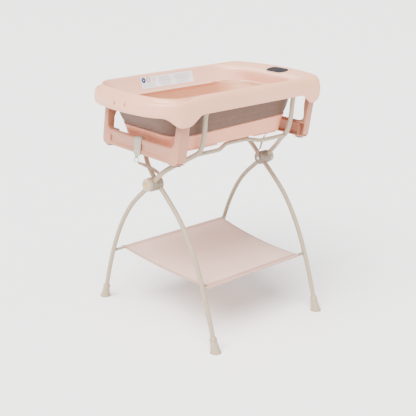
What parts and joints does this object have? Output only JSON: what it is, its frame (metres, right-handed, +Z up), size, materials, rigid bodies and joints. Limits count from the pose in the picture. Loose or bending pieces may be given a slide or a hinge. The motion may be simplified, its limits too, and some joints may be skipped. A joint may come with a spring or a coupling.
{
  "type": "changing table",
  "caption": "Collapsible baby bath with folding legs, a soft folding wall and a drain, resting on a folding scissor stand with a fabric shelf.",
  "frame": {"origin": "on the floor, under the middle of the bath and midway between the front and back feet", "axes": "+X along the bath towards its display end, +Y away from the user, +Z up"},
  "size_m": [0.889, 0.757, 0.99],
  "materials": {
    "painted_tube": "satin warm grey powder coat",
    "hub_plastic": "matte warm grey moulded plastic",
    "ivory_plastic": "smooth ivory plastic",
    "gold_trim": "satin gold",
    "steel": "plain zinc-plated steel",
    "pink_shell": "smooth blush-pink moulded plastic",
    "soft_wall": "satin taupe soft moulding",
    "grey_rubber": "matte grey",
    "grey_plastic": "matte light grey plastic",
    "shelf_fabric": "plain woven polyester, pale pink-beige",
    "strap_web": "narrow woven webbing",
    "dark_glass": "smooth dark grey window",
    "paper": "printed sticker film"
  },
  "bodies": {
    "stand_outer": {"outer_frame_tube_left": "painted_tube", "outer_frame_tube_right": "painted_tube", "outer_frame_boot_left": "hub_plastic", "outer_frame_boot_right": "hub_plastic", "hub_outer_half_left": "hub_plastic", "hub_outer_half_right": "hub_plastic", "outer_frame_top_rail": "painted_tube", "outer_frame_cross_bar": "painted_tube", "outer_frame_shelf_rod": "painted_tube", "hub_cap_left": "ivory_plastic", "hub_cap_right": "ivory_plastic", "hub_badge_left": "gold_trim", "hub_badge_right": "gold_trim", "hub_pivot_bolt_left": "steel", "hub_pivot_bolt_right": "steel", "shelf_sling": "shelf_fabric"},
    "stand_inner": {"inner_frame_tube_left": "painted_tube", "inner_frame_tube_right": "painted_tube", "inner_frame_boot_left": "hub_plastic", "inner_frame_boot_right": "hub_plastic", "hub_inner_half_left": "hub_plastic", "hub_inner_half_right": "hub_plastic", "hub_washer_left": "grey_plastic", "hub_washer_right": "grey_plastic", "inner_frame_top_rail": "painted_tube", "inner_frame_cross_bar": "painted_tube", "inner_frame_shelf_rod": "painted_tube"},
    "bath": {"bath_rim": "pink_shell", "display_frame": "pink_shell", "display_lens": "dark_glass", "care_label": "paper", "rim_saddle_near_left": "pink_shell", "rim_saddle_far_left": "pink_shell", "rim_saddle_near_right": "pink_shell", "rim_saddle_far_right": "pink_shell", "leg_pin_left_near": "steel", "leg_pin_left_far": "steel", "leg_pin_right_near": "steel", "leg_pin_right_far": "steel", "bath_fold_wall": "soft_wall"},
    "basin": {"bath_basin": "pink_shell", "drain_seat": "grey_plastic"},
    "drain_plug": {"drain_plug": "ivory_plastic"},
    "bath_leg_left": {"bath_leg_left": "pink_shell", "leg_pad_left_near": "grey_rubber", "leg_pad_left_far": "grey_rubber", "strap_hook_left": "grey_plastic", "strap_ring_left": "steel", "safety_strap_left": "strap_web"},
    "bath_leg_right": {"bath_leg_right": "pink_shell", "leg_pad_right_near": "grey_rubber", "leg_pad_right_far": "grey_rubber", "strap_hook_right": "grey_plastic", "strap_ring_right": "steel", "safety_strap_right": "strap_web"}
  },
  "joints": [
    {"name": "bath_lift", "type": "slide", "parent": "stand_outer", "child": "bath", "axis": [0, -0.1736, 0.9848], "range_m": [0, 1]},
    {"name": "stand_fold", "type": "hinge", "parent": "stand_outer", "child": "stand_inner", "pos_m": [0.024, 0, 0.605], "axis": [1, 0, 0], "range_deg": [0, 56], "deforming": ["shelf_sling"]},
    {"name": "basin_collapse", "type": "slide", "parent": "bath", "child": "basin", "axis": [0, 0, 1], "range_m": [0, 0.13], "deforming": ["bath_fold_wall"]},
    {"name": "leg_left_fold", "type": "hinge", "parent": "bath", "child": "bath_leg_left", "pos_m": [-0.306, 0, 0.905], "axis": [0, -1, 0], "range_deg": [0, 80], "deforming": ["safety_strap_left"]},
    {"name": "leg_right_fold", "type": "hinge", "parent": "bath", "child": "bath_leg_right", "pos_m": [0.36, 0, 0.905], "axis": [0, 1, 0], "range_deg": [0, 70], "deforming": ["safety_strap_right"]},
    {"name": "drain_plug_pull", "type": "slide", "parent": "basin", "child": "drain_plug", "axis": [0, 0, 1], "range_m": [0, 0.03]}
  ],
  "couplings": [
    {"joint": "stand_fold", "follows": "bath_lift", "rad_per_m": 0.97738},
    {"joint": "basin_collapse", "follows": "bath_lift", "ratio": 0.13},
    {"joint": "leg_left_fold", "follows": "bath_lift", "rad_per_m": 1.3963},
    {"joint": "leg_right_fold", "follows": "bath_lift", "rad_per_m": 1.2217}
  ]
}
